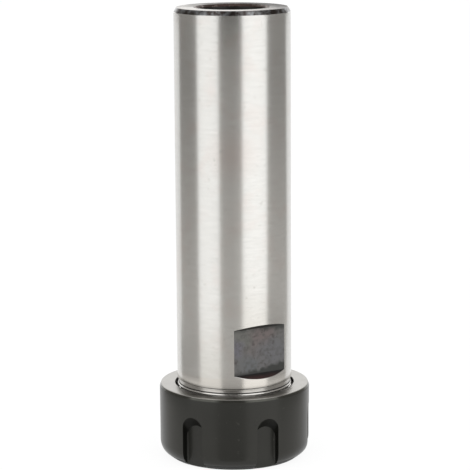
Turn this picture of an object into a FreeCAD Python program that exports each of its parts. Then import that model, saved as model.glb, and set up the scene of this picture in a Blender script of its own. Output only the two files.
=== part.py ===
import FreeCAD, Part
import math
import os

# Collet chuck holder: a straight ground shank with a collet socket, its clamping nut and its collet.
# Millimetres. The origin is on the axis, at the nut's front face, and +Z runs up the shank.

# Chuck body, turned from one bar
shank_d = 32.0
body_l = 118.4
rear_wall = 6.0
socket_l = 29.2
drill_stop_l = 7.7
drill_tip_half_angle = 59.0
rear_chamfer_l = 1.3
rear_chamfer_w = 0.75
bore_break = 0.4
thread_d = 32.0
thread_pitch = 1.5
thread_show = 0.35
thread_chamfer = 1.0
undercut_l = 1.35
undercut_depth = 1.0

# Two wrench flats, milled opposite each other near the shank's front shoulder. Their end walls slope
# outwards by this many degrees from square to the axis.
flat_depth = 2.15
flat_l = 12.7
flat_from_shoulder = 3.6
flat_end_slope = 28.0

# Spring collet
collet_l = 34.0
collet_bore_d = 12.0
collet_gauge_d = 25.0
collet_gauge_l = 6.66
collet_half_angle = 8.0
head_d = 26.0
front_cone_l = 3.5
front_half_angle = 30.0
rim_land = 0.4
slit_pairs = 8
slit_w = 0.8
front_bridge = 8.5
rear_bridge = 4.5
collet_break = 0.4
rear_edge_break = 0.8

# Clamping nut, with a steep chamfer and then a shallow taper round its front end
nut_wall = 5.0
nut_h = 20.5
nose_chamfer_l = 1.6
nose_chamfer_w = 2.1
nose_taper_l = 1.8
nose_taper_w = 0.7
nut_rear_chamfer_l = 0.9
nut_rear_chamfer_w = 0.42
counterbore_l = 2.0
thread_lead_l = 1.2
slot_count = 6
slot_w = 6.5
slot_depth = 2.5
slot_l = 14.6
slot_run_out = 48.0
slot_turn = -4.0

# Extraction lip of the nut, an eccentric ring that reaches into the collet's groove
lip_t = 1.2
lip_reach = 1.0
lip_room = 0.5
lip_play = 0.2
groove_room = 0.7
groove_floor_gap = 0.6

# Fits
collet_recess = 0.5
seat_gap = 0.05
thread_play = 0.04
counterbore_gap = 0.7
relief_gap = 0.25

# Heights along the axis, worked out from the sizes above
body_front_z = collet_recess + collet_gauge_l
body_rear_z = body_front_z + body_l
thread_end_z = nut_h + thread_show
shoulder_z = thread_end_z + undercut_l
flat_bottom_z = shoulder_z + flat_from_shoulder
flat_top_z = flat_bottom_z + flat_l
head_rear_z = collet_recess + front_cone_l + rim_land
lip_front_z = head_rear_z + lip_play
lip_rear_z = lip_front_z + lip_t
groove_rear_z = lip_rear_z + groove_room
collet_rear_z = collet_recess + collet_l
nut_thread_front_z = body_front_z + thread_lead_l

# Radii that more than one piece uses
shank_r = shank_d / 2
head_r = head_d / 2
gauge_r = collet_gauge_d / 2
nut_r = thread_d / 2 + nut_wall
thread_pitch_r = thread_d / 2 - 3 * math.sqrt(3) / 16 * thread_pitch
socket_slope = math.tan(math.radians(collet_half_angle))
front_slope = math.tan(math.radians(front_half_angle))
collet_face_r = head_r - front_cone_l * front_slope

# Tools reach this far past the surface that they cut
overcut = 1.0

axis_base = FreeCAD.Vector(0, 0, 0)
axis_z = FreeCAD.Vector(0, 0, 1)


def point(radius, height):
    """A point of a turned piece's half section, which lies in the XZ plane."""
    return FreeCAD.Vector(radius, 0, height)


def lines(points):
    """Straight edges from each point to the next."""
    return [Part.LineSegment(a, b).toShape() for a, b in zip(points[:-1], points[1:])]


def turned(edges):
    """The solid that a closed half section sweeps about the axis."""
    return Part.Face(Part.Wire(edges)).revolve(axis_base, axis_z, 360)


def spun(tool, angle):
    """A copy of a cutting tool, turned about the axis."""
    copy = tool.copy()
    copy.rotate(axis_base, axis_z, angle)
    return copy


def body_blank():
    """The turned body: shank, undercut and thread outside, socket and stepped bore inside."""
    thread_r = thread_pitch_r - thread_play
    undercut_r = thread_d / 2 - undercut_depth
    bore_r = shank_r - rear_wall
    through_r = gauge_r - socket_l * socket_slope
    socket_end_z = body_front_z + socket_l
    drill_end_z = socket_end_z + drill_stop_l
    tip_l = (bore_r - through_r) / math.tan(math.radians(drill_tip_half_angle))
    outline = [
        point(gauge_r, body_front_z),
        point(thread_r - thread_chamfer, body_front_z),
        point(thread_r, body_front_z + thread_chamfer),
        point(thread_r, thread_end_z),
        point(undercut_r, thread_end_z),
        point(undercut_r, shoulder_z),
        point(shank_r, shoulder_z),
        point(shank_r, body_rear_z - rear_chamfer_l),
        point(shank_r - rear_chamfer_w, body_rear_z),
        point(bore_r + bore_break, body_rear_z),
        point(bore_r, body_rear_z - bore_break),
        point(bore_r, drill_end_z),
        point(through_r, drill_end_z - tip_l),
        point(through_r, socket_end_z),
        point(gauge_r, body_front_z),
    ]
    return turned(lines(outline))


def flat_cutter():
    """The milled pocket of one wrench flat, on the -Y side, with its sloping end walls."""
    floor_y = -(shank_r - flat_depth)
    outer_y = -(shank_r + overcut)
    flare = (flat_depth + overcut) * math.tan(math.radians(flat_end_slope))
    half_w = shank_r + overcut
    outline = [
        FreeCAD.Vector(-half_w, floor_y, flat_bottom_z),
        FreeCAD.Vector(-half_w, floor_y, flat_top_z),
        FreeCAD.Vector(-half_w, outer_y, flat_top_z + flare),
        FreeCAD.Vector(-half_w, outer_y, flat_bottom_z - flare),
        FreeCAD.Vector(-half_w, floor_y, flat_bottom_z),
    ]
    return Part.Face(Part.Wire(lines(outline))).extrude(FreeCAD.Vector(2 * half_w, 0, 0))


def chuck_body():
    """Body with both wrench flats cut."""
    cutter = flat_cutter()
    return body_blank().cut([cutter, spun(cutter, 180)])


def collet_blank():
    """The turned collet: front cone, head rim, extraction groove and long taper."""
    bore_r = collet_bore_d / 2
    groove_r = head_r - lip_reach - groove_floor_gap
    taper_gap = seat_gap / math.cos(math.radians(collet_half_angle))
    taper_front_r = gauge_r + (body_front_z - groove_rear_z) * socket_slope - taper_gap
    taper_rear_z = collet_rear_z - rear_edge_break
    taper_rear_r = gauge_r - (taper_rear_z - body_front_z) * socket_slope - taper_gap
    outline = [
        point(bore_r + collet_break, collet_recess),
        point(collet_face_r, collet_recess),
        point(head_r, collet_recess + front_cone_l),
        point(head_r, head_rear_z),
        point(groove_r, head_rear_z),
        point(groove_r, groove_rear_z),
        point(taper_front_r, groove_rear_z),
        point(taper_rear_r, taper_rear_z),
        point(taper_rear_r - rear_edge_break, collet_rear_z),
        point(bore_r, collet_rear_z),
        point(bore_r, collet_recess + collet_break),
        point(bore_r + collet_break, collet_recess),
    ]
    return turned(lines(outline))


def slit_cutter(low_z, high_z):
    """A saw cut through one side of the collet wall, along +X."""
    corner = FreeCAD.Vector(0, -slit_w / 2, low_z)
    return Part.makeBox(head_r + overcut, slit_w, high_z - low_z, corner)


def spring_collet():
    """Collet slit from its front and from its rear in turn, so that it closes evenly."""
    step = 360 / slit_pairs
    front = slit_cutter(collet_recess - overcut, collet_rear_z - rear_bridge)
    rear = slit_cutter(collet_recess + front_bridge, collet_rear_z + overcut)
    cuts = []
    for number in range(slit_pairs):
        cuts.append(spun(front, (number + 0.5) * step))
        cuts.append(spun(rear, number * step))
    return collet_blank().cut(cuts)


def nut_seat_r(height):
    """Radius of the nut's conical seat at a height, one gap clear of the collet's front cone."""
    cone_gap = seat_gap / math.cos(math.radians(front_half_angle))
    return collet_face_r + (height - collet_recess) * front_slope + cone_gap


def nut_blank():
    """The turned nut, with the lip's ring left at its smallest radius."""
    nose_r = nut_r - nose_taper_w
    thread_r = thread_pitch_r + thread_play
    relief_r = thread_d / 2 + relief_gap
    counterbore_r = max(shank_d, thread_d) / 2 + counterbore_gap
    counterbore_z = nut_h - counterbore_l
    outline = [
        point(nose_r - nose_chamfer_w, 0),
        point(nose_r, nose_chamfer_l),
        point(nut_r, nose_chamfer_l + nose_taper_l),
        point(nut_r, nut_h - nut_rear_chamfer_l),
        point(nut_r - nut_rear_chamfer_w, nut_h),
        point(counterbore_r, nut_h),
        point(counterbore_r, counterbore_z),
        point(thread_r, counterbore_z),
        point(thread_r, nut_thread_front_z),
        point(relief_r, nut_thread_front_z),
        point(relief_r, lip_rear_z),
        point(head_r - lip_reach, lip_rear_z),
        point(head_r - lip_reach, lip_front_z),
        point(nut_seat_r(lip_front_z), lip_front_z),
        point(nut_seat_r(0), 0),
        point(nose_r - nose_chamfer_w, 0),
    ]
    return turned(lines(outline))


def lip_cutter():
    """The eccentric bore that leaves the lip deep on one side and gone on the other."""
    bore_r = head_r + (lip_room - lip_reach) / 2
    offset = (lip_room + lip_reach) / 2
    return Part.makeCylinder(bore_r, lip_t, FreeCAD.Vector(offset, 0, lip_front_z), axis_z)


def slot_cutter():
    """One spanner slot on the -Y side: a flat floor, open at the front, whose round rear end runs out
    to the nut's outside on a slope, as the end mill leaves it on its way out."""
    floor_y = -(nut_r - slot_depth)
    reach = slot_depth + overcut
    slope = math.tan(math.radians(slot_run_out))
    round_z = slot_l - slot_w / 2 - slot_depth * slope
    low_z = -overcut - reach * slope
    left_low = FreeCAD.Vector(-slot_w / 2, floor_y, low_z)
    left_high = FreeCAD.Vector(-slot_w / 2, floor_y, round_z)
    top = FreeCAD.Vector(0, floor_y, round_z + slot_w / 2)
    right_high = FreeCAD.Vector(slot_w / 2, floor_y, round_z)
    right_low = FreeCAD.Vector(slot_w / 2, floor_y, low_z)
    outline = lines([right_high, right_low, left_low, left_high])
    outline.append(Part.Arc(left_high, top, right_high).toShape())
    return Part.Face(Part.Wire(outline)).extrude(FreeCAD.Vector(0, -reach, reach * slope))


def clamping_nut():
    """Nut with its eccentric lip and its six spanner slots."""
    slot = slot_cutter()
    cuts = [lip_cutter()]
    for number in range(slot_count):
        cuts.append(spun(slot, slot_turn + number * 360 / slot_count))
    return nut_blank().cut(cuts)


def main():
    os.makedirs("parts", exist_ok=True)
    chuck_body().exportStep("parts/chuck_body.step")
    clamping_nut().exportStep("parts/clamping_nut.step")
    spring_collet().exportStep("parts/spring_collet.step")


main()
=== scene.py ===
import math
import bmesh
import bpy
from mathutils import Matrix, Vector


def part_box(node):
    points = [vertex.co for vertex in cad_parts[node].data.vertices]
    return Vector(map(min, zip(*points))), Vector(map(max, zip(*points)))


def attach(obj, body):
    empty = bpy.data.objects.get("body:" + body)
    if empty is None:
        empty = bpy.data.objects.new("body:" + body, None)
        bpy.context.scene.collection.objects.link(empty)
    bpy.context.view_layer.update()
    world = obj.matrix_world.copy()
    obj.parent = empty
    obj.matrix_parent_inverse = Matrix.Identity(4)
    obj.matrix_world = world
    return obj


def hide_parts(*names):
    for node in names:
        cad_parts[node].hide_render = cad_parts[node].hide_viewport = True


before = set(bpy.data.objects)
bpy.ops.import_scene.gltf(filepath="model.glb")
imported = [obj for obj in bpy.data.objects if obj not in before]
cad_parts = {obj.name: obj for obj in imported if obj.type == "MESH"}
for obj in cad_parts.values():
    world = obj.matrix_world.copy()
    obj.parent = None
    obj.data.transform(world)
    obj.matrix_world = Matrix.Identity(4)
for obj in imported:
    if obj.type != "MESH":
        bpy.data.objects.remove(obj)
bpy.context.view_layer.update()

# Collet chuck holder, standing on its clamping nut. Metres, with the origin on the axis at the nut's front
# face and +Z up the shank. Azimuths are measured from -Y, the side of the wrench flat that the photo shows,
# and grow towards +X.
mm = 0.001
scene = bpy.context.scene
scene.view_settings.view_transform = "Standard"

# Camera. It stands in front of the holder and to the left of the wrench flat, above the nut and below the
# top. Its place and tilt were fitted to the outlines in the photo.
camera_azimuth = math.radians(-30.0)
camera_distance = 568.43 * mm
camera_height = 170.26 * mm
camera_side = 0.423 * mm
camera_pitch = math.radians(10.7588)
camera_roll = math.radians(-0.3612)


def around(azimuth, radius, height):
    """The point at an azimuth, a radius from the axis and a height."""
    return Vector((radius * math.sin(azimuth), -radius * math.cos(azimuth), height))


camera_data = bpy.data.cameras.new("camera")
camera_data.sensor_width = 36.0
camera_data.lens = 159.447
camera_data.clip_start = 0.01
camera = bpy.data.objects.new("camera", camera_data)
scene.collection.objects.link(camera)
camera_right = Vector((math.cos(camera_azimuth), math.sin(camera_azimuth), 0))
camera_turn = Matrix.Rotation(camera_azimuth, 4, "Z") @ Matrix.Rotation(math.pi / 2 - camera_pitch, 4, "X")
camera_place = around(camera_azimuth, camera_distance, camera_height) + camera_side * camera_right
camera.matrix_world = Matrix.Translation(camera_place) @ camera_turn @ Matrix.Rotation(camera_roll, 4, "Z")
scene.camera = camera

# Chuck body. One bar of alloy steel, blackened before its last cuts: the shank is then cylindrically ground
# and the neck in front of it turned, so the oxide stays in the wrench flats, the bore and the chamfer. The
# M32x1.5 thread, which part.py leaves plain, is cut here as a real helix that ends in its undercut.
body_low, body_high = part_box("chuck_body")
shank_r = body_high.x
body_front_z = body_low.z
body_rear_z = body_high.z
thread_pitch = 1.5 * mm
collar_z = 20.3 * mm
undercut_r = 15.2 * mm
shoulder_z = 22.2 * mm
ground_end_z = 25.0 * mm
flat_floor = 13.85 * mm
flat_bottom_z = 25.8 * mm
flat_top_z = 38.5 * mm
flat_slope = math.tan(math.radians(28.0))
rear_chamfer_l = 1.3 * mm
rear_chamfer_w = 0.75 * mm
bore_r = 10.0 * mm
bore_break = 0.65 * mm
drill_end_z = 44.06 * mm
socket_end_z = 36.36 * mm
through_r = 8.396 * mm
socket_mouth_r = 12.5 * mm
tip_l = (bore_r - through_r) / math.tan(math.radians(59.0))
thread_chamfer_r = 14.473 * mm
thread_crest_r = 15.98 * mm
thread_root_r = 15.06 * mm
thread_pitch_r = 15.513 * mm
thread_play = 0.04 * mm
edge_soft = 0.12 * mm
border_gap = 0.05 * mm
flat_columns = 80
side_columns = 160
corner_steps = 4
# A length below this counts as none.
nothing = 1e-9


def linear(code):
    """The linear colour of an sRGB hex code."""
    parts = [int(code[i:i + 2], 16) / 255 for i in (0, 2, 4)]
    return [p / 12.92 if p <= 0.04045 else ((p + 0.055) / 1.055) ** 2.4 for p in parts] + [1.0]


def add_node(tree, kind, settings, links):
    """A new node, with its settings and input values set and its inputs linked."""
    node = tree.nodes.new(kind)
    for name, value in settings.items():
        if isinstance(name, str) and hasattr(node, name):
            setattr(node, name, value)
        else:
            node.inputs[name].default_value = value
    for name, socket in links.items():
        tree.links.new(socket, node.inputs[name])
    return node


def new_material(name):
    """A material with an empty principled shader: (material, tree, shader, coordinates on the piece)."""
    material = bpy.data.materials.new(name)
    material.use_nodes = True
    tree = material.node_tree
    coords = add_node(tree, "ShaderNodeTexCoord", {}, {}).outputs["Object"]
    return material, tree, tree.nodes["Principled BSDF"], coords


# A rounding takes at most this share of a side.
most_of_side = 0.45


def softened(corners, steps):
    """The points of a half section and the name of the side up to each: (radius, height, name).
    A corner gives its radius, height, the length of both sides that its rounding takes, and that name."""
    points = [(corners[0][0], corners[0][1], corners[0][3])]
    for before, corner, after in zip(corners[:-2], corners[1:-1], corners[2:]):
        r, z, soft, side_name = corner
        if soft == 0:
            points.append((r, z, side_name))
            continue
        sides = []
        for other in (before, after):
            length = math.hypot(other[0] - r, other[1] - z)
            share = min(soft / length, most_of_side) if length > nothing else 0
            sides.append((r + (other[0] - r) * share, z + (other[1] - z) * share))
        for step in range(steps + 1):
            t = step / steps
            a, b, c = (1 - t) ** 2, 2 * t * (1 - t), t * t
            arc_r = a * sides[0][0] + b * r + c * sides[1][0]
            arc_z = a * sides[0][1] + b * z + c * sides[1][1]
            points.append((arc_r, arc_z, side_name))
    points.append((corners[-1][0], corners[-1][1], corners[-1][3]))
    return points


def thread_row_z(start_z, row, column_share, phases):
    """Height of a thread row: the phases repeat each pitch, and one turn climbs one pitch."""
    turns, phase = divmod(row, len(phases))
    return start_z + (turns + column_share) * thread_pitch + phases[phase]


def thread_flank_r(height, column_share):
    """Radius of the sharp 60 degree thread form, with its crest at the helix."""
    offset = (height - column_share * thread_pitch) % thread_pitch
    from_crest = min(offset, thread_pitch - offset)
    return thread_pitch_r + (thread_pitch / 4 - from_crest) * math.sqrt(3)


# Points closer than the first are one point, and edges sharper than the second aren't shaded smooth.
merge_gap = 0.0005 * mm
sharp_angle = math.radians(19.0)


def finish_mesh(name, points, faces, tags, materials):
    """An object from points and faces, with doubles merged and a material for each face's tag."""
    mesh = bpy.data.meshes.new(name)
    mesh.from_pydata(points, [], faces)
    names = list(materials)
    mesh.polygons.foreach_set("material_index", [names.index(tag) for tag in tags])
    shape = bmesh.new()
    shape.from_mesh(mesh)
    bmesh.ops.remove_doubles(shape, verts=shape.verts, dist=merge_gap)
    bmesh.ops.recalc_face_normals(shape, faces=shape.faces)
    shape.to_mesh(mesh)
    shape.free()
    for material in materials.values():
        mesh.materials.append(material)
    mesh.polygons.foreach_set("use_smooth", [True] * len(mesh.polygons))
    mesh.set_sharp_from_angle(angle=sharp_angle)
    piece = bpy.data.objects.new(name, mesh)
    scene.collection.objects.link(piece)
    return piece


# Half sections list their corners: radius, height, the length that a rounding takes, and the side before.
# The neck runs from the collar behind the thread over a turned step and a narrow groove, and down a ramp into
# the undercut. These lines are as fine as the photo shows them.
# The sides named groove are painted near black: painted shade in the narrow groove and on the undercut under
# the shoulder.
neck_profile = [
    (thread_crest_r, collar_z, 0, "turned"),
    (thread_crest_r, 20.44 * mm, 0.03 * mm, "turned"),
    (15.78 * mm, 20.76 * mm, 0.03 * mm, "turned"),
    (15.45 * mm, 20.78 * mm, 0.02 * mm, "groove"),
    (15.45 * mm, 20.9 * mm, 0.02 * mm, "groove"),
    (15.62 * mm, 21.0 * mm, 0.03 * mm, "groove"),
    (undercut_r, 21.74 * mm, 0.1 * mm, "ramp"),
    (undercut_r, shoulder_z, 0.05 * mm, "groove"),
    (shank_r, shoulder_z, 0.08 * mm, "turned"),
]
# The rear end, with its chamfer and the bore's broken edge, then the bore, the through hole and the socket.
rear_profile = [
    (shank_r, body_rear_z - rear_chamfer_l, 0.1 * mm, "ground"),
    (shank_r - rear_chamfer_w, body_rear_z, 0.08 * mm, "chamfer"),
    (bore_r + bore_break, body_rear_z, 0.1 * mm, "face"),
    (bore_r, body_rear_z - bore_break, 0.1 * mm, "rim"),
    (bore_r, drill_end_z, 0, "bore"),
    (through_r, drill_end_z - tip_l, 0, "bore"),
    (through_r, socket_end_z, 0, "bore"),
    (socket_mouth_r, body_front_z, 0.1 * mm, "socket"),
    (thread_chamfer_r, body_front_z, 0, "turned"),
]


def body_section(azimuth):
    """The body's half section at an azimuth, from the collar behind the thread to the thread's front end."""
    flat_azimuth = min(abs(azimuth), abs(azimuth - math.pi), abs(azimuth - 2 * math.pi))
    depth = max(shank_r * math.cos(flat_azimuth) - flat_floor, 0)
    in_flat = depth > nothing
    floor_r = flat_floor / math.cos(flat_azimuth) if in_flat else shank_r
    wall_l = depth * flat_slope
    ground_z = min(ground_end_z, flat_bottom_z - wall_l - border_gap)
    flat, wall = ("flat", "wall") if in_flat else ("ground", "ground")
    flat_profile = [
        (shank_r, ground_z, 0, "turned"),
        (shank_r, flat_bottom_z - wall_l, edge_soft, "ground"),
        (floor_r, flat_bottom_z, edge_soft, wall),
        (floor_r, flat_top_z, edge_soft, flat),
        (shank_r, flat_top_z + wall_l, edge_soft, wall),
    ]
    return softened(neck_profile + flat_profile + rear_profile, corner_steps)


flat_half = math.acos(flat_floor / shank_r)
body_azimuths = []
for side in (0, math.pi):
    for step in range(flat_columns):
        body_azimuths.append(side - flat_half + 2 * flat_half * step / flat_columns)
    for step in range(side_columns):
        body_azimuths.append(side + flat_half + (math.pi - 2 * flat_half) * step / side_columns)

points, faces, tags = [], [], []
sections = [body_section(azimuth % (2 * math.pi)) for azimuth in body_azimuths]
rows = len(sections[0])
columns = len(sections)
for azimuth, section in zip(body_azimuths, sections):
    points += [around(azimuth, r, z) for r, z, _ in section]
for column in range(columns):
    far_column = (column + 1) % columns
    near, far = column * rows, far_column * rows
    for row in range(rows - 1):
        faces.append((near + row, far + row, far + row + 1, near + row + 1))
        # Along the flat's two sides, the quads between it and the shank have the flat's finish.
        near_tag, far_tag = sections[column][row + 1][2], sections[far_column][row + 1][2]
        tags.append(far_tag if near_tag == "ground" else near_tag)

# The thread's rows follow the helix: its crest, flanks and root are the same rows all the way along. They
# start and end some turns beyond the thread, where they are cut off level.
spare_turns = 2


def thread_phases(first_half, second_half):
    """Offsets along one pitch of a thread's rows, from the half widths of its crest and root."""
    flank = [(2 * first_half + second_half) / 3, (first_half + 2 * second_half) / 3, second_half]
    return [-first_half, first_half] + flank + [thread_pitch - offset for offset in reversed(flank)]


def add_thread_faces(phases, tag):
    """Adds the quads between the thread's columns. The last column meets the first one pitch further on."""
    for column in range(columns):
        far_column = (column + 1) % columns
        shift = len(phases) if far_column == 0 else 0
        for row in range(shift, thread_rows - 1):
            near, far = base + column * thread_rows + row, base + far_column * thread_rows + row - shift
            faces.append((near, far, far + 1, near + 1))
            tags.append(tag)


crest_half = thread_pitch / 4 - (thread_crest_r + thread_play - thread_pitch_r) / math.sqrt(3)
root_half = thread_pitch / 4 + (thread_pitch_r - thread_play - thread_root_r) / math.sqrt(3)
body_phases = thread_phases(crest_half, root_half)
first_turn = math.floor(body_front_z / thread_pitch) - spare_turns
thread_turns = math.ceil((collar_z - body_front_z) / thread_pitch) + 2 * spare_turns
thread_rows = thread_turns * len(body_phases)
base = len(points)
for azimuth in body_azimuths:
    share = (azimuth - body_azimuths[0]) / (2 * math.pi)
    for row in range(thread_rows):
        z = thread_row_z(first_turn * thread_pitch, row, share, body_phases)
        z = min(max(z, body_front_z), collar_z)
        r = min(max(thread_flank_r(z, share) - thread_play, thread_root_r), thread_crest_r)
        points.append(around(azimuth, min(r, thread_chamfer_r + z - body_front_z), z))
add_thread_faces(body_phases, "thread")
# The thread runs out against a narrow plain collar, beside the undercut.
for column in range(columns):
    far_column = (column + 1) % columns
    near, far = base + (column + 1) * thread_rows - 1, base + (far_column + 1) * thread_rows - 1
    faces.append((near, far, far_column * rows, column * rows))
    tags.append("turned")


def ring_marks(tree, coords, length, width, detail, roughness=0.5):
    """The strength of marks of a length and width that run round the axis, as a cutting tool leaves them."""
    cells = (1 / length, 1 / length, 1 / width)
    stretched = add_node(tree, "ShaderNodeVectorMath", {"operation": "MULTIPLY", 1: cells}, {0: coords})
    settings = {"Scale": 1.0, "Detail": detail, "Roughness": roughness}
    return add_node(tree, "ShaderNodeTexNoise", settings, {"Vector": stretched.outputs[0]}).outputs["Fac"]


# Cylindrically ground steel: fine marks run round the shank and draw its highlights out along it. Real marks
# are some hundredths of a millimetre wide. They are drawn wider, and paler dashes gather them into streaks.
ground_steel, tree, shader, coords = new_material("ground_alloy_steel")
grind = ring_marks(tree, coords, length=20 * mm / 3, width=mm / 6, detail=3.0)
dashes = ring_marks(tree, coords, length=25 * mm / 6, width=2 * mm / 3, detail=4.0, roughness=0.7)
tint = add_node(
    tree, "ShaderNodeMix",
    {"data_type": "RGBA", 6: linear("C5C4C0"), 7: linear("D6D5D2")},
    {0: dashes},
)
# Handling has left one faint brownish smudge high up in front, fainter stains all over, and gray specks.
stain = add_node(tree, "ShaderNodeTexNoise", {"Scale": 1 / (6.25 * mm), "Detail": 3.0}, {"Vector": coords})
stain_share = add_node(
    tree, "ShaderNodeMapRange",
    {"From Min": 0.5, "From Max": 0.8, "To Max": 0.4},
    {"Value": stain.outputs["Fac"]},
)
smudge_z = 87 * mm
smudge_place = tuple(around(camera_azimuth, shank_r, smudge_z))
away = add_node(tree, "ShaderNodeVectorMath", {"operation": "DISTANCE", 1: smudge_place}, {0: coords})
smudge_share = add_node(
    tree, "ShaderNodeMapRange",
    {"From Min": 1 * mm, "From Max": 9 * mm, "To Min": 0.5, "To Max": 0.0},
    {"Value": away.outputs["Value"]},
)
stained_share = add_node(
    tree, "ShaderNodeMath",
    {"operation": "MAXIMUM"},
    {0: stain_share.outputs[0], 1: smudge_share.outputs[0]},
)
stained = add_node(
    tree, "ShaderNodeMix",
    {"data_type": "RGBA", 7: linear("CBBFB9")},
    {0: stained_share.outputs[0], 6: tint.outputs[2]},
)
specks = add_node(tree, "ShaderNodeTexNoise", {"Scale": 1 / (1.111 * mm), "Detail": 2.0}, {"Vector": coords})
speck_share = add_node(
    tree, "ShaderNodeMapRange",
    {"From Min": 0.64, "From Max": 0.8},
    {"Value": specks.outputs["Fac"]},
)
speck_tint = add_node(
    tree, "ShaderNodeMix",
    {"data_type": "RGBA", 7: linear("C1BFBA")},
    {0: speck_share.outputs[0], 6: stained.outputs[2]},
)
tree.links.new(speck_tint.outputs[2], shader.inputs["Base Color"])
rough = add_node(
    tree, "ShaderNodeMapRange",
    {"From Min": 0.3, "From Max": 0.7, "To Min": 0.19, "To Max": 0.26},
    {"Value": grind},
)
tree.links.new(rough.outputs[0], shader.inputs["Roughness"])
bump = add_node(
    tree, "ShaderNodeBump",
    {"Strength": 0.12, "Distance": 0.003 * mm},
    {"Height": grind},
)
tree.links.new(bump.outputs[0], shader.inputs["Normal"])
shader.inputs["Metallic"].default_value = 1.0

# Turned steel: the tool leaves even rings, 0.11 mm apart, with a long and soft unevenness along them.
turned_steel, tree, shader, coords = new_material("turned_alloy_steel")
feed = ring_marks(tree, coords, length=50 * mm / 3, width=mm / 9, detail=1.0)
tint = add_node(
    tree, "ShaderNodeMix",
    {"data_type": "RGBA", 6: linear("C4C1BC"), 7: linear("D6D4D0")},
    {0: feed},
)
tree.links.new(tint.outputs[2], shader.inputs["Base Color"])
bump = add_node(
    tree, "ShaderNodeBump",
    {"Strength": 0.3, "Distance": 0.01 * mm},
    {"Height": feed},
)
tree.links.new(bump.outputs[0], shader.inputs["Normal"])
shader.inputs["Metallic"].default_value = 1.0
shader.inputs["Roughness"].default_value = 0.2


def mottled_finish(name, tones, patch, detail, metallic, roughness, specular=0.5, ragged=0.5, span=(0, 1)):
    """A material whose colour wanders between two tones, in patches of one size. It changes over this span
    of the pattern's strength, so that a short span gives patches with clear edges."""
    material, tree, shader, coords = new_material(name)
    noise = {"Scale": 1 / patch, "Detail": detail, "Roughness": ragged}
    patches = add_node(tree, "ShaderNodeTexNoise", noise, {"Vector": coords})
    limits = {"From Min": span[0], "From Max": span[1]}
    share = add_node(tree, "ShaderNodeMapRange", limits, {"Value": patches.outputs["Fac"]})
    colours = {"data_type": "RGBA", 6: linear(tones[0]), 7: linear(tones[1])}
    tint = add_node(tree, "ShaderNodeMix", colours, {0: share.outputs[0]})
    tree.links.new(tint.outputs[2], shader.inputs["Base Color"])
    shader.inputs["Metallic"].default_value = metallic
    shader.inputs["Roughness"].default_value = roughness
    shader.inputs["Specular IOR Level"].default_value = specular
    return material


# The ramp into the undercut: turned with a narrow tool, so duller, and grayed by oil.
ramp_steel = mottled_finish(
    "oily_grooved_steel", ("A5A29D", "B9B6B1"),
    patch=2.5 * mm, detail=2.0, metallic=1.0, roughness=0.24,
)

# Black oxide on the milled flats: a satin dark gray, with greenish, violet and brown clouds and small stains.
flat_oxide_and_painted_corner_shade, tree, shader, coords = new_material("black_oxide_and_painted_corner_shade_on_milled_steel")
drift_reach = 5 * mm
drift = add_node(tree, "ShaderNodeTexNoise", {"Scale": 1 / (3.846 * mm), "Detail": 3.0}, {"Vector": coords})
push = add_node(
    tree, "ShaderNodeVectorMath",
    {"operation": "SCALE", "Scale": drift_reach},
    {0: drift.outputs["Color"]},
)
drifted = add_node(tree, "ShaderNodeVectorMath", {"operation": "ADD"}, {0: coords, 1: push.outputs[0]})
on_flat = add_node(
    tree, "ShaderNodeVectorMath",
    {"operation": "MULTIPLY", 1: (1, 0, 1)},
    {0: drifted.outputs[0]},
)
grain = add_node(tree, "ShaderNodeTexNoise", {"Scale": 1 / (1.111 * mm), "Detail": 2.0}, {"Vector": coords})
clouds = add_node(
    tree, "ShaderNodeMix",
    {"data_type": "RGBA", 6: linear("535250"), 7: linear("5E5C5A")},
    {0: grain.outputs["Fac"]},
)
# Each cloud's place on the flat and its reach, in millimetres, and its colour.
for x, z, reach, colour in [
    (-4.9, 36.0, 5.0, "5A5A55"),
    (1.2, 36.5, 5.5, "625654"),
    (-1.0, 31.5, 5.0, "5E5857"),
    (4.5, 31.0, 6.0, "58585B"),
    (-7.5, 33.0, 3.5, "5A5861"),
    (-3.0, 28.0, 4.5, "545759"),
]:
    centre = (x * mm + drift_reach / 2, 0, z * mm + drift_reach / 2)
    away = add_node(
        tree, "ShaderNodeVectorMath",
        {"operation": "DISTANCE", 1: centre},
        {0: on_flat.outputs[0]},
    )
    share = add_node(
        tree, "ShaderNodeMapRange",
        {"From Min": 0.4 * reach * mm, "From Max": reach * mm, "To Min": 0.85, "To Max": 0.0},
        {"Value": away.outputs["Value"]},
    )
    clouds = add_node(
        tree, "ShaderNodeMix",
        {"data_type": "RGBA", 7: linear(colour)},
        {0: share.outputs[0], 6: clouds.outputs[2]},
    )
grain_share = add_node(
    tree, "ShaderNodeMapRange",
    {"From Min": 0.42, "From Max": 0.72, "To Max": 0.6},
    {"Value": grain.outputs["Fac"]},
)
clouds = add_node(
    tree, "ShaderNodeMix",
    {"data_type": "RGBA", 7: linear("3A3735")},
    {0: grain_share.outputs[0], 6: clouds.outputs[2]},
)
stains = add_node(tree, "ShaderNodeTexNoise", {"Scale": 1 / (1.923 * mm), "Detail": 3.0}, {"Vector": coords})
stain_share = add_node(
    tree, "ShaderNodeMapRange",
    {"From Min": 0.59, "From Max": 0.76},
    {"Value": stains.outputs["Fac"]},
)
stained = add_node(
    tree, "ShaderNodeMix",
    {"data_type": "RGBA", 7: linear("2A211F")},
    {0: stain_share.outputs[0], 6: clouds.outputs[2]},
)
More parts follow.
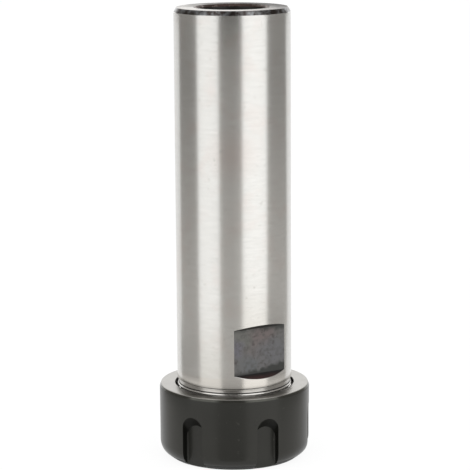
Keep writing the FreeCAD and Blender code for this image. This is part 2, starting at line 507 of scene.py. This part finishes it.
# The flat is painted nearly black in both inner corners, as painted shade, widest in the lower one, with an
# uneven border. Both dark borders are wider towards one end, and there they are greenish.
place = add_node(tree, "ShaderNodeSeparateXYZ", {}, {"Vector": coords})
height = place.outputs["Z"]
ragged_by = 3 * mm
ragged = add_node(
    tree, "ShaderNodeMath",
    {"operation": "MULTIPLY_ADD", 1: ragged_by, 2: -ragged_by / 2},
    {0: stains.outputs["Fac"]},
)
ragged_z = add_node(tree, "ShaderNodeMath", {"operation": "ADD"}, {0: height, 1: ragged.outputs[0]})
widening = add_node(
    tree, "ShaderNodeMapRange",
    {"From Min": 0.0, "From Max": 7 * mm, "To Min": 0.0, "To Max": 1.5 * mm},
    {"Value": place.outputs["X"]},
)
foot_z = add_node(
    tree, "ShaderNodeMath",
    {"operation": "SUBTRACT"},
    {0: ragged_z.outputs[0], 1: widening.outputs[0]},
)
# Painted shade along the flat's lower inner corner.
foot = add_node(
    tree, "ShaderNodeMapRange",
    {
        "From Min": flat_bottom_z + 0.5 * mm,
        "From Max": flat_bottom_z + 1.3 * mm,
        "To Min": 1.0,
        "To Max": 0.0,
    },
    {"Value": foot_z.outputs[0]},
)
head_z = add_node(
    tree, "ShaderNodeMath",
    {"operation": "MULTIPLY_ADD", 1: 0.6},
    {0: widening.outputs[0], 2: ragged_z.outputs[0]},
)
# Painted shade along the flat's upper inner corner.
head = add_node(
    tree, "ShaderNodeMapRange",
    {"From Min": flat_top_z - 0.9 * mm, "From Max": flat_top_z + 0.3 * mm, "To Min": 0.0, "To Max": 0.85},
    {"Value": head_z.outputs[0]},
)
painted_corner_shade_share = add_node(
    tree, "ShaderNodeMath",
    {"operation": "MAXIMUM"},
    {0: foot.outputs[0], 1: head.outputs[0]},
)
# Mixes the painted corner shade over the oxide's colour.
painted_corner_shade = add_node(
    tree, "ShaderNodeMix",
    {"data_type": "RGBA", 7: linear("151813")},
    {0: painted_corner_shade_share.outputs[0], 6: stained.outputs[2]},
)
tree.links.new(painted_corner_shade.outputs[2], shader.inputs["Base Color"])
mill_w = 0.2 * mm
mill_depth = 5 * mm
mill_l = 10 * mm / 3
marks = add_node(
    tree, "ShaderNodeVectorMath",
    {"operation": "MULTIPLY", 1: (1 / mill_w, 1 / mill_depth, 1 / mill_l)},
    {0: coords},
)
mill = add_node(tree, "ShaderNodeTexNoise", {"Scale": 1.0, "Detail": 2.0}, {"Vector": marks.outputs[0]})
bump = add_node(
    tree, "ShaderNodeBump",
    {"Strength": 0.25, "Distance": 0.01 * mm},
    {"Height": mill.outputs["Fac"]},
)
tree.links.new(bump.outputs[0], shader.inputs["Normal"])
shader.inputs["Roughness"].default_value = 0.34

# The flats' sloping ends were cut by the mill's corner. They are rougher, so that the oxide there is darker,
# and it turns rusty brown towards the lower rim.
wall_oxide, tree, shader, coords = new_material("black_oxide_on_rough_milling")
rust = add_node(tree, "ShaderNodeTexNoise", {"Scale": 1 / (2.381 * mm), "Detail": 3.0}, {"Vector": coords})
height = add_node(tree, "ShaderNodeSeparateXYZ", {}, {"Vector": coords}).outputs["Z"]
outwards = add_node(
    tree, "ShaderNodeMapRange",
    {"From Min": flat_bottom_z - 0.1 * mm, "From Max": flat_bottom_z - 1.1 * mm, "To Max": 1.6},
    {"Value": height},
)
rust_share = add_node(
    tree, "ShaderNodeMath",
    {"operation": "MULTIPLY", "use_clamp": True},
    {0: rust.outputs["Fac"], 1: outwards.outputs[0]},
)
tint = add_node(
    tree, "ShaderNodeMix",
    {"data_type": "RGBA", 6: linear("131110"), 7: linear("452422")},
    {0: rust_share.outputs[0]},
)
tree.links.new(tint.outputs[2], shader.inputs["Base Color"])
shader.inputs["Roughness"].default_value = 0.5

# Worn black oxide on the rear chamfer: dark and brownish, with grayer metal rubbed through in patches.
chamfer_oxide = mottled_finish(
    "worn_oxide_on_turned_steel", ("3F3835", "909294"),
    patch=2.632 * mm, detail=4.0, metallic=1.0, roughness=0.28, ragged=0.65, span=(0.44, 0.66),
)

# The edge of the rear bore was broken by hand. It has rusted brown, with bright spots left.
rim_steel = mottled_finish(
    "rusted_edge_break", ("43332E", "A89C96"),
    patch=2.222 * mm, detail=4.0, metallic=0.7, roughness=0.4, ragged=0.7, span=(0.5, 0.68),
)

# The rear face was turned after blackening. Its front-left side is painted light, smooth and metallic as a
# painted highlight; the rest is dark brown and rough, stains with painted shade.
stained_face_with_painted_highlight, tree, shader, coords = new_material("stained_turned_steel_with_painted_highlight")
painted_highlight_side = tuple(around(math.radians(-62.0), 1.0, 0))
towards = add_node(tree, "ShaderNodeVectorMath", {"operation": "DOT_PRODUCT", 1: painted_highlight_side}, {0: coords})
patch = add_node(
    tree, "ShaderNodeTexNoise",
    {"Scale": 1 / (3.03 * mm), "Detail": 4.0, "Roughness": 0.65},
    {"Vector": coords},
)
uneven_by = 26 * mm
uneven = add_node(
    tree, "ShaderNodeMath",
    {"operation": "MULTIPLY_ADD", 1: uneven_by, 2: -uneven_by / 2},
    {0: patch.outputs["Fac"]},
)
place = add_node(
    tree, "ShaderNodeMath",
    {"operation": "ADD"},
    {0: towards.outputs["Value"], 1: uneven.outputs[0]},
)
# Share of the painted highlight on the front-left side; the rest is painted shade over stains.
painted_highlight_share = add_node(
    tree, "ShaderNodeMapRange",
    {"From Min": -11 * mm, "From Max": 9 * mm},
    {"Value": place.outputs[0]},
)
tint = add_node(
    tree, "ShaderNodeMix",
    {"data_type": "RGBA", 6: linear("2E2521"), 7: linear("B0ACA7")},
    {0: painted_highlight_share.outputs[0]},
)
tree.links.new(tint.outputs[2], shader.inputs["Base Color"])
rough = add_node(
    tree, "ShaderNodeMapRange",
    {"To Min": 0.6, "To Max": 0.34},
    {"Value": painted_highlight_share.outputs[0]},
)
tree.links.new(rough.outputs[0], shader.inputs["Roughness"])
painted_highlight_metallic = add_node(
    tree, "ShaderNodeMapRange",
    {"To Min": 0.0, "To Max": 0.75},
    {"Value": painted_highlight_share.outputs[0]},
)
tree.links.new(painted_highlight_metallic.outputs[0], shader.inputs["Metallic"])

# Black oxide in the rear bore, oily and nearly black. The neck's groove and undercut get the same near black
# as painted shade.
bore_oxide_and_painted_groove_shade = mottled_finish(
    "oiled_black_oxide_and_painted_groove_shade", ("1E1D1B", "2B2A27"),
    patch=3.333 * mm, detail=3.0, metallic=0.0, roughness=0.28,
)

chuck_body = finish_mesh("chuck_body_visual", points, faces, tags, {
    "ground": ground_steel,
    "turned": turned_steel,
    "ramp": ramp_steel,
    # The neck's groove and undercut take the bore's near black as painted shade.
    "groove": bore_oxide_and_painted_groove_shade,
    "face": stained_face_with_painted_highlight,
    "flat": flat_oxide_and_painted_corner_shade,
    "wall": wall_oxide,
    "chamfer": chamfer_oxide,
    "rim": rim_steel,
    "bore": bore_oxide_and_painted_groove_shade,
    "socket": ground_steel,
    "thread": turned_steel,
})
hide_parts("chuck_body")
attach(chuck_body, "holder")

# Clamping nut. One piece of turned steel, blackened and oiled, with six spanner slots milled up from its
# front end. Inside are the collet's 30 degree seat, the eccentric lip that pulls the collet out, and the
# thread, cut on the same helix as the body's so that the two run together.
_, nut_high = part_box("clamping_nut")
nut_r = nut_high.x
nut_h = nut_high.z
slot_round_z = 11.35 * mm
# Outside, from the front face over the nose's steep chamfer and shallow taper.
nut_profile = [
    (18.2 * mm, 0, 0, "outside"),
    (20.3 * mm, 1.6 * mm, 0.9 * mm, "outside"),
    (nut_r, 3.4 * mm, 1.2 * mm, "outside"),
    (nut_r, slot_round_z, 0, "outside"),
]
nut_rear_chamfer_l = 0.9 * mm
nut_rear_chamfer_w = 0.42 * mm
counterbore_r = 16.7 * mm
counterbore_z = 18.5 * mm
nut_thread_front_z = 8.36 * mm
nut_crest_r = 15.188 * mm
nut_root_r = 16.05 * mm
thread_end_r = 16.1 * mm
relief_r = 16.25 * mm
lip_rear_z = 5.8 * mm
lip_front_z = 4.6 * mm
lip_bore_r = 12.75 * mm
lip_offset = 0.75 * mm
seat_face_r = 10.746 * mm
seat_slope = math.tan(math.radians(30.0))
slot_count = 6
slot_turn = math.radians(-4.0)
slot_half = 3.25 * mm
slot_floor = 18.5 * mm
slot_depth = 2.5 * mm
slot_run_out = slot_depth * math.tan(math.radians(48.0))
slot_fillet = 0.4 * mm
# Steps in each rounding at the front and at the rear end.
nose_steps = 6
rear_steps = 3
# Above the slots the columns draw straight as far as this height, in so many steps.
blend_z = 16.2 * mm
blend_steps = 4
# Where columns cross a slot, in shares of its half width. They are closer together at the fillets.
slot_places = [-1, -0.985, -0.965, -0.94, -0.91, -0.877, -0.65, -0.4, -0.15]
slot_places += [0] + [-place for place in reversed(slot_places)]
land_columns = 56
nut_slope = (nut_profile[1][0] - nut_profile[0][0]) / nut_profile[1][1]


def slot_azimuth(slot, across):
    """The function from radius to azimuth of the line that runs this far across a slot."""
    return lambda r: slot_turn + slot * 2 * math.pi / slot_count + math.asin(across / r)


def land_azimuth(slot, share):
    """The function from radius to azimuth of the line at this share of the land after a slot."""
    left, right = slot_azimuth(slot, slot_half), slot_azimuth(slot + 1, -slot_half)
    return lambda r: left(r) * (1 - share) + right(r) * share


def lip_r(azimuth):
    """Radius of the eccentric lip's bore at an azimuth. Its centre lies towards +X."""
    from_offset = azimuth - math.pi / 2
    run = math.sqrt(lip_bore_r ** 2 - (lip_offset * math.sin(from_offset)) ** 2)
    return lip_offset * math.cos(from_offset) + run


# Every column is (azimuth function, distance across a slot or None).
nut_columns = []
for slot in range(slot_count):
    for place in slot_places:
        nut_columns.append((slot_azimuth(slot, place * slot_half), place * slot_half))
    for step in range(1, land_columns):
        nut_columns.append((land_azimuth(slot, step / land_columns), None))
columns = len(nut_columns)
points, faces, tags = [], [], []


def add_point(azimuth_of, r, z, azimuth_r=None):
    """Adds a point on a column and gives its number. The azimuth may be taken at another radius."""
    points.append(around(azimuth_of(azimuth_r or r), r, z))
    return len(points) - 1


def add_strip(first, second, tag):
    """Adds the quads between two equally long rows of points."""
    for a, b, c, d in zip(first, first[1:], second[1:], second):
        faces.append((a, b, c, d))
        tags.append(tag)


def slot_floor_r(across):
    """Radius of the slot's flat floor, with the fillet that the mill's corner leaves along its sides."""
    short = max(slot_fillet - slot_half + abs(across), 0)
    rise = slot_fillet - math.sqrt(max(slot_fillet ** 2 - short ** 2, 0))
    return math.hypot(slot_floor + rise, across)


def entry_z(across):
    """Height at which the slot's floor comes out of the nose's chamfer."""
    return (slot_floor_r(across) - nut_profile[0][0]) / nut_slope


outside = softened(nut_profile, nose_steps)
edge_entry_z = entry_z(slot_half)
outside.insert(1, (slot_floor_r(slot_half), edge_entry_z, "outside"))
# So many rows, up to the middle of the first rounding, are the nose's chamfer.
nose_rows = 5
outer_lines, floor_lines, upper_lines = [], [], []
for azimuth_of, across in nut_columns:
    if across is None or abs(abs(across) - slot_half) < nothing:
        outer_lines.append([add_point(azimuth_of, r, z) for r, z, _ in outside])
    else:
        outer_lines.append(None)
    if across is None:
        floor_lines.append(None)
        end_z = slot_round_z
    else:
        end_z = slot_round_z + math.sqrt(max(slot_half ** 2 - across ** 2, 0))
        start_z = entry_z(across)
        floor_l = end_z - slot_run_out - start_z
        line = [add_point(azimuth_of, outside[0][0], 0)]
        for r, z, _ in outside[1:]:
            share = (z - edge_entry_z) / (slot_round_z - edge_entry_z)
            line.append(add_point(azimuth_of, slot_floor_r(across), start_z + floor_l * share))
        floor_lines.append(line)
    heights = [end_z + (blend_z - end_z) * step / blend_steps for step in range(blend_steps + 1)]
    upper_lines.append([add_point(azimuth_of, nut_r, z) for z in heights])
for column in range(columns):
    far = (column + 1) % columns
    outer_near, floor_near, upper_near = outer_lines[column], floor_lines[column], upper_lines[column]
    outer_far, floor_far, upper_far = outer_lines[far], floor_lines[far], upper_lines[far]
    if outer_near and outer_far and not (floor_near and floor_far):
        add_strip(outer_near[:nose_rows], outer_far[:nose_rows], "nose")
        add_strip(outer_near[nose_rows - 1:], outer_far[nose_rows - 1:], "outside")
    if floor_near and floor_far:
        add_strip(floor_near, floor_far, "slot")
        faces.append((floor_near[-1], floor_far[-1], upper_far[0], upper_near[0]))
        tags.append("wall")
    if outer_near and floor_near:
        add_strip(floor_near[1:], outer_near[1:], "wall")
    add_strip(upper_near, upper_far, "outside")

# The rear end, and the inside as far as the thread.
rear_points = softened([
    (nut_r, blend_z, 0, "outside"),
    (nut_r, nut_h - nut_rear_chamfer_l, 0.15 * mm, "outside"),
    (nut_r - 0.8 * nut_rear_chamfer_w, nut_h - 0.2 * nut_rear_chamfer_l, 0, "edge"),
    (nut_r - nut_rear_chamfer_w, nut_h, 0.3 * mm, "rear"),
    (counterbore_r, nut_h, 0.06 * mm, "rear"),
    (counterbore_r, counterbore_z, 0.1 * mm, "inside"),
    (thread_end_r, counterbore_z, 0, "inside"),
], rear_steps)
rear_lines = [[add_point(line, r, z, nut_r) for r, z, _ in rear_points] for line, _ in nut_columns]
front_lines = []
for azimuth_of, _ in nut_columns:
    ring_r = lip_r(azimuth_of(nut_r))
    section = [
        (thread_end_r, nut_thread_front_z),
        (relief_r, nut_thread_front_z),
        (relief_r, lip_rear_z),
        (ring_r, lip_rear_z),
        (ring_r, lip_front_z),
        (seat_face_r + lip_front_z * seat_slope, lip_front_z),
        (seat_face_r, 0),
    ]
    front_lines.append([add_point(azimuth_of, r, z, nut_r) for r, z in section])
for column in range(columns):
    far = (column + 1) % columns
    near_line, far_line = rear_lines[column], rear_lines[far]
    for row, (_, _, tag) in enumerate(rear_points[1:]):
        faces.append((near_line[row], far_line[row], far_line[row + 1], near_line[row + 1]))
        tags.append(tag)
    add_strip(front_lines[column], front_lines[far], "inside")
    first = (floor_lines[column] or outer_lines[column])[0]
    second = (floor_lines[far] or outer_lines[far])[0]
    faces.append((front_lines[column][-1], front_lines[far][-1], second, first))
    tags.append("outside")

nut_root_half = thread_pitch / 4 - (nut_root_r - thread_play - thread_pitch_r) / math.sqrt(3)
nut_crest_half = thread_pitch / 4 + (thread_pitch_r + thread_play - nut_crest_r) / math.sqrt(3)
nut_phases = thread_phases(nut_root_half, nut_crest_half)
first_turn = math.floor(nut_thread_front_z / thread_pitch) - spare_turns
thread_turns = math.ceil((counterbore_z - nut_thread_front_z) / thread_pitch) + 2 * spare_turns
thread_rows = thread_turns * len(nut_phases)
base = len(points)
first_azimuth = nut_columns[0][0](nut_r)
for azimuth_of, _ in nut_columns:
    azimuth = azimuth_of(nut_r)
    # The share is measured from where the body's helix starts, so that both threads have one phase.
    column_share = (azimuth - first_azimuth) / (2 * math.pi)
    helix_share = (azimuth - body_azimuths[0]) / (2 * math.pi)
    lag = (helix_share - column_share) * thread_pitch
    for row in range(thread_rows):
        z = thread_row_z(first_turn * thread_pitch + lag, row, column_share, nut_phases)
        z = min(max(z, nut_thread_front_z), counterbore_z)
        r = min(max(thread_flank_r(z, helix_share) + thread_play, nut_crest_r), nut_root_r)
        lead = thread_end_r - min(z - nut_thread_front_z, counterbore_z - z)
        points.append(around(azimuth, max(r, lead), z))
add_thread_faces(nut_phases, "inside")

# Black oxide on the nut: an even near-black with a faint warm cast, satin from the oil.
nut_oxide, tree, shader, coords = new_material("black_oxide_on_nut")
film = add_node(tree, "ShaderNodeTexNoise", {"Scale": 1 / (6.25 * mm), "Detail": 4.0}, {"Vector": coords})
tint = add_node(
    tree, "ShaderNodeMix",
    {"data_type": "RGBA", 6: linear("272724"), 7: linear("2D2D29")},
    {0: film.outputs["Fac"]},
)
dust = add_node(tree, "ShaderNodeTexNoise", {"Scale": 1 / (0.909 * mm), "Detail": 1.0}, {"Vector": coords})
dust_share = add_node(
    tree, "ShaderNodeMapRange",
    {"From Min": 0.72, "From Max": 0.8},
    {"Value": dust.outputs["Fac"]},
)
dusted = add_node(
    tree, "ShaderNodeMix",
    {"data_type": "RGBA", 7: linear("3A3A36")},
    {0: dust_share.outputs[0], 6: tint.outputs[2]},
)
tree.links.new(dusted.outputs[2], shader.inputs["Base Color"])
feed = ring_marks(tree, coords, length=10 * mm / 3, width=0.2 * mm, detail=2.0)
bump = add_node(
    tree, "ShaderNodeBump",
    {"Strength": 0.1, "Distance": 0.006 * mm},
    {"Height": feed},
)
tree.links.new(bump.outputs[0], shader.inputs["Normal"])
shader.inputs["Specular IOR Level"].default_value = 0.25
shader.inputs["Roughness"].default_value = 0.28

# The slots' milled walls and the nose's chamfer are rougher, and are painted darker than the nut's oxide as
# painted shade: they stay black next to the turned outside.
slot_oxide_and_painted_shade = mottled_finish(
    "black_oxide_and_painted_shade_on_slot_walls", ("0B0B09", "171713"),
    patch=2.5 * mm, detail=3.0, metallic=0.0, roughness=0.5, specular=0.15,
)

# Handling has rubbed the nut's rear chamfer: thin oxide over bright steel, which catches the softboxes.
edge_oxide = mottled_finish(
    "rubbed_oxide_on_chamfer", ("40403C", "5A5A55"),
    patch=2 * mm, detail=3.0, metallic=1.0, roughness=0.18,
)

# The nut's rear face is faced smooth, and its thin oxide lets the steel shine through at a low angle.
rear_oxide = mottled_finish(
    "thin_oxide_on_faced_steel", ("8F8D89", "A09E99"),
    patch=4.167 * mm, detail=3.0, metallic=1.0, roughness=0.31,
)

clamping_nut = finish_mesh("clamping_nut_visual", points, faces, tags, {
    "outside": nut_oxide,
    "slot": nut_oxide,
    "wall": slot_oxide_and_painted_shade,
    "nose": slot_oxide_and_painted_shade,
    "edge": edge_oxide,
    "rear": rear_oxide,
    "inside": nut_oxide,
})
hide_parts("clamping_nut")
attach(clamping_nut, "nut")

# Spring collet. Hardened steel, finely ground on both cones, and sawn from its front and from its rear in
# turn so that it closes evenly. Only its face shows until the nut is unscrewed.
collet_low, collet_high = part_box("spring_collet")
collet_face_z = collet_low.z
collet_rear_z = collet_high.z
collet_bore_r = 6.0 * mm
collet_break = 0.4 * mm
head_r = collet_high.x
slit_half = 0.4 * mm
front_slit_end_z = 30.0 * mm
rear_slit_end_z = 9.0 * mm
collet_face_r = 10.979 * mm
face_edge_r = 11.21 * mm
rim_front_z = 4.0 * mm
groove_front_z = 4.4 * mm
groove_rear_z = 6.5 * mm
groove_r = 11.4 * mm
taper_front_r = 12.536 * mm
taper_slope = math.tan(math.radians(8.0))
taper_rear_z = 33.7 * mm
rear_edge_w = 0.8 * mm
slit_count = 16
slit_step = 2 * math.pi / slit_count
collet_columns = 12
collet_steps = 3


def taper_r(height):
    """Radius of the collet's long taper at a height."""
    return taper_front_r - (height - groove_rear_z) * taper_slope


collet_outside = softened([
    (collet_face_r, collet_face_z, 0, "outside"),
    (face_edge_r, collet_face_z + collet_break, 0, "outside"),
    (head_r, rim_front_z, 0.2 * mm, "outside"),
    (head_r, groove_front_z, 0.1 * mm, "outside"),
    (groove_r, groove_front_z, 0.1 * mm, "outside"),
    (groove_r, groove_rear_z, 0.2 * mm, "outside"),
    (taper_front_r, groove_rear_z, 0.1 * mm, "outside"),
    (taper_r(rear_slit_end_z), rear_slit_end_z, 0, "outside"),
    (taper_r(front_slit_end_z), front_slit_end_z, 0, "outside"),
    (taper_r(taper_rear_z), taper_rear_z, 0.15 * mm, "outside"),
    (taper_r(taper_rear_z) - rear_edge_w, collet_rear_z, 0, "outside"),
], collet_steps)
collet_heights = [z for _, z, _ in collet_outside]
bore_edge_r = collet_bore_r + collet_break
collet_inside = [(max(collet_bore_r, bore_edge_r - (z - collet_face_z)), z) for z in collet_heights]
points, faces, tags = [], [], []
collet_lines = []
for slit in range(slit_count):
    for step in range(collet_columns + 1):
        share = step / collet_columns

        def azimuth_at(r, slit=slit, share=share):
            """Azimuth between the walls of two neighbouring slits, at a radius."""
            half = math.asin(slit_half / r)
            return slit * slit_step + half * (1 - share) + (slit_step - half) * share

        outer_line = [add_point(azimuth_at, r, z) for r, z, _ in collet_outside]
        inner_line = [add_point(azimuth_at, r, z) for r, z in collet_inside]
        collet_lines.append((outer_line, inner_line))
count = len(collet_lines)
last = len(collet_outside)
for column in range(count):
    outer_near, inner_near = collet_lines[column]
    outer_far, inner_far = collet_lines[(column + 1) % count]
    first_row, last_row = 0, last - 1
    if column % (collet_columns + 1) == collet_columns:
        next_slit = column // (collet_columns + 1) + 1
        is_front = next_slit % 2 == 1
        end_z = front_slit_end_z if is_front else rear_slit_end_z
        end_row = [abs(z - end_z) < nothing for z in collet_heights].index(True)
        open_rows = range(0, end_row) if is_front else range(end_row, last - 1)
        for row in open_rows:
            faces.append((outer_near[row], outer_near[row + 1], inner_near[row + 1], inner_near[row]))
            faces.append((outer_far[row], outer_far[row + 1], inner_far[row + 1], inner_far[row]))
            tags += ["slit", "slit"]
        faces.append((outer_near[end_row], outer_far[end_row], inner_far[end_row], inner_near[end_row]))
        tags.append("slit")
        if is_front:
            first_row = end_row
        else:
            last_row = end_row
    add_strip(outer_near[first_row:last_row + 1], outer_far[first_row:last_row + 1], "outside")
    add_strip(inner_near[first_row:last_row + 1], inner_far[first_row:last_row + 1], "bore")
    if first_row == 0:
        faces.append((outer_near[0], outer_far[0], inner_far[0], inner_near[0]))
        tags.append("outside")
    if last_row == last - 1:
        faces.append((outer_near[-1], outer_far[-1], inner_far[-1], inner_near[-1]))
        tags.append("outside")

# Finely ground spring steel, brighter and smoother than the shank, with shorter and finer marks.
collet_steel, tree, shader, coords = new_material("fine_ground_spring_steel")
grind = ring_marks(tree, coords, length=5 * mm, width=mm / 9, detail=2.0)
tint = add_node(
    tree, "ShaderNodeMix",
    {"data_type": "RGBA", 6: linear("C6C6C4"), 7: linear("D0D0CE")},
    {0: grind},
)
tree.links.new(tint.outputs[2], shader.inputs["Base Color"])
bump = add_node(
    tree, "ShaderNodeBump",
    {"Strength": 0.1, "Distance": 0.003 * mm},
    {"Height": grind},
)
tree.links.new(bump.outputs[0], shader.inputs["Normal"])
shader.inputs["Metallic"].default_value = 1.0
shader.inputs["Roughness"].default_value = 0.16

# The saw leaves the slits' walls dull.
slit_steel = mottled_finish(
    "sawn_spring_steel", ("6F6E6B", "8A8986"),
    patch=1.111 * mm, detail=2.0, metallic=1.0, roughness=0.42,
)

spring_collet = finish_mesh("spring_collet_visual", points, faces, tags, {
    "outside": collet_steel,
    "bore": collet_steel,
    "slit": slit_steel,
})
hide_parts("spring_collet")
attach(spring_collet, "collet")

# Floor. A sheet of white paper, so overexposed that it is nearly all white: most of what it sends out is a
# glow of its own, and the little that it reflects keeps a faint shadow round the nut.
floor_half = 6.0
floor_reflects = 0.13
floor_glow = 0.91


def glowing_sheet(name, paper_name, corners):
    """A sheet between four corners, whose paper has no nodes yet: (sheet, tree)."""
    mesh = bpy.data.meshes.new(name)
    mesh.from_pydata(corners, [], [(0, 1, 2, 3)])
    paper = bpy.data.materials.new(paper_name)
    paper.use_nodes = True
    paper.node_tree.nodes.clear()
    mesh.materials.append(paper)
    sheet = bpy.data.objects.new(name, mesh)
    scene.collection.objects.link(sheet)
    return sheet, paper.node_tree


floor, tree = glowing_sheet("floor", "white_sweep", [
    (-floor_half, -floor_half, 0),
    (floor_half, -floor_half, 0),
    (floor_half, floor_half, 0),
    (-floor_half, floor_half, 0),
])
diffuse = add_node(tree, "ShaderNodeBsdfDiffuse", {"Color": [floor_reflects] * 3 + [1]}, {})
glow = add_node(tree, "ShaderNodeEmission", {"Color": (1, 1, 1, 1), "Strength": floor_glow}, {})
mixed = add_node(tree, "ShaderNodeAddShader", {}, {0: diffuse.outputs[0], 1: glow.outputs[0]})
add_node(tree, "ShaderNodeOutputMaterial", {}, {"Surface": mixed.outputs[0]})

# Studio. A white room, with two upright softboxes and three gray cards close round the front of the holder.
# Each one's edges are given by where its reflection ends on the shank, in degrees from the camera's side.
tent_r = 165.0 * mm
tent_h = 420.0 * mm
nut_clear_r = 24.0 * mm


def tent_azimuth(shank_angle):
    """Azimuth at which a sight line that glances off the shank here meets the tent."""
    angle = math.radians(shank_angle)
    return camera_azimuth + 2 * angle - math.asin(shank_r * math.sin(angle) / tent_r)


def tent_panel(left, right):
    """Centre, width and heading of the upright panel between two such places."""
    a, b = around(tent_azimuth(left), tent_r, 0), around(tent_azimuth(right), tent_r, 0)
    middle = (a + b) / 2
    return middle, (a - b).length, math.atan2(middle.x, -middle.y)


def upright_lamp(name, centre, heading, width, height, radiance):
    """A rectangular lamp that stands upright and faces the holder, hidden from the camera."""
    light = bpy.data.lights.new(name, "AREA")
    light.shape = "RECTANGLE"
    light.size = width
    light.size_y = height
    # The watts that give the lamp this brightness in a mirror.
    light.energy = radiance * 4 / math.pi * width * height
    lamp = bpy.data.objects.new(name, light)
    scene.collection.objects.link(lamp)
    upright = Matrix.Rotation(heading, 4, "Z") @ Matrix.Rotation(math.pi / 2, 4, "X")
    lamp.matrix_world = Matrix.Translation(centre) @ upright
    lamp.visible_camera = False


for name, left, right, radiance in [("softbox_left", -36.8, -13.5, 0.87), ("softbox_right", 9.3, 35.5, 1.13)]:
    middle, width, heading = tent_panel(left, right)
    upright_lamp(name, middle + Vector((0, 0, tent_h / 2)), heading, width, tent_h, radiance)


def sight(shank_angle, height):
    """Where a sight line that glances off the shank here leaves the nut, and where it meets the tent."""
    start = around(camera_azimuth + math.radians(shank_angle), nut_clear_r, height)
    return start, around(tent_azimuth(shank_angle), tent_r, height)


warm_white = (1, 0.975, 0.94, 1)


def reflected_card(name, corners, levels, axis, extent):
    """A card that only reflections show. Its glow changes from one level to the other over an extent,
    which is measured from the origin along the given axes."""
    card, tree = glowing_sheet(name, name, corners)
    coords = add_node(tree, "ShaderNodeTexCoord", {}, {}).outputs["Object"]
    place = add_node(tree, "ShaderNodeVectorMath", {"operation": "MULTIPLY", 1: axis}, {0: coords})
    run = add_node(tree, "ShaderNodeVectorMath", {"operation": "LENGTH"}, {0: place.outputs[0]})
    settings = {"From Min": extent[0], "From Max": extent[1], "To Min": levels[0], "To Max": levels[1]}
    level = add_node(tree, "ShaderNodeMapRange", settings, {"Value": run.outputs["Value"]})
    glow = add_node(
        tree, "ShaderNodeEmission",
        {"Color": warm_white},
        {"Strength": level.outputs[0]},
    )
    add_node(tree, "ShaderNodeOutputMaterial", {}, {"Surface": glow.outputs[0]})
    card.visible_camera = False
    card.visible_diffuse = False
    card.visible_transmission = False
    card.visible_shadow = False


# Each gray card has a lower part for the shank and a wider upper part that only the chamfers reflect. The
# lower part darkens upwards between the first two heights, and ends at the third.
up_axis = (0, 0, 1)
floor_axes = (1, 1, 0)
fade_low = 20 * mm
fade_high = 95 * mm
split_h = 117 * mm
for name, low_edges, high_edges, top_edges, low, high, top in [
    ("card_left", (-65.0, -36.8), (-64.0, -36.8), (-74.0, -36.8), 0.53, 0.31, 0.34),
    ("card_middle", (-13.5, 9.3), (-13.5, 9.3), (-13.5, 9.3), 0.55, 0.38, 0.12),
    ("card_right", (35.5, 68.0), (35.5, 65.0), (35.5, 72.0), 0.56, 0.33, 0.34),
]:
    foot = [sight(edge, 0)[1] for edge in low_edges]
    seam = [sight(edge, split_h)[1] for edge in high_edges]
    upper_seam = [sight(edge, split_h)[1] for edge in top_edges]
    head = [sight(edge, tent_h)[1] for edge in top_edges]
    reflected_card(name, foot + seam[::-1], (low, high), up_axis, (fade_low, fade_high))
    reflected_card(name + "_top", upper_seam + head[::-1], (top, top), up_axis, (0.0, tent_h))

# Strips just above the floor continue the cards and softboxes for the nut and the neck. Their brightness
# changes from the near value to the far one between these distances from the axis.
strip_z = 0.5 * mm
strip_near = 72 * mm
strip_far = 94 * mm
for name, left, right, near, far in [
    ("foot_left", -67.5, -36.8, 1.0, 0.42),
    ("sheet_left", -36.8, -13.5, 1.04, 1.04),
    ("foot_middle", -13.5, 9.3, 0.46, 0.55),
    ("sheet_right", 9.3, 35.5, 1.3, 1.3),
    ("foot_right", 35.5, 65.0, 1.0, 0.42),
]:
    (near_a, far_a), (near_b, far_b) = sight(left, strip_z), sight(right, strip_z)
    reflected_card(name, [near_a, far_a, far_b, near_b], (near, far), floor_axes, (strip_near, strip_far))

# The lit backdrop behind the holder, which the nut's rear face reflects.
back_w = 0.9
back_low = 112 * mm
back_h = 458 * mm
back_distance = 520 * mm
back_radiance = 1.5
back_heading = camera_azimuth + math.pi
back_centre = around(back_heading, back_distance, back_low + back_h / 2)
upright_lamp("backdrop_light", back_centre, back_heading, back_w, back_h, back_radiance)

# The room. Its walls look white, and light the holder a little less than that.
room_seen = 1.0
room_light = 0.75
world = bpy.data.worlds.new("white_room")
scene.world = world
world.use_nodes = True
tree = world.node_tree
tree.nodes.clear()
path = add_node(tree, "ShaderNodeLightPath", {}, {})
seen = add_node(
    tree, "ShaderNodeMath",
    {"operation": "MAXIMUM"},
    {0: path.outputs["Is Camera Ray"], 1: path.outputs["Is Glossy Ray"]},
)
shown = add_node(
    tree, "ShaderNodeMath",
    {"operation": "MAXIMUM"},
    {0: seen.outputs[0], 1: path.outputs["Is Transmission Ray"]},
)
strength = add_node(
    tree, "ShaderNodeMapRange",
    {"To Min": room_light, "To Max": room_seen},
    {"Value": shown.outputs[0]},
)
sky = add_node(tree, "ShaderNodeBackground", {"Color": (1, 1, 1, 1)}, {"Strength": strength.outputs[0]})
add_node(tree, "ShaderNodeOutputWorld", {}, {"Surface": sky.outputs[0]})
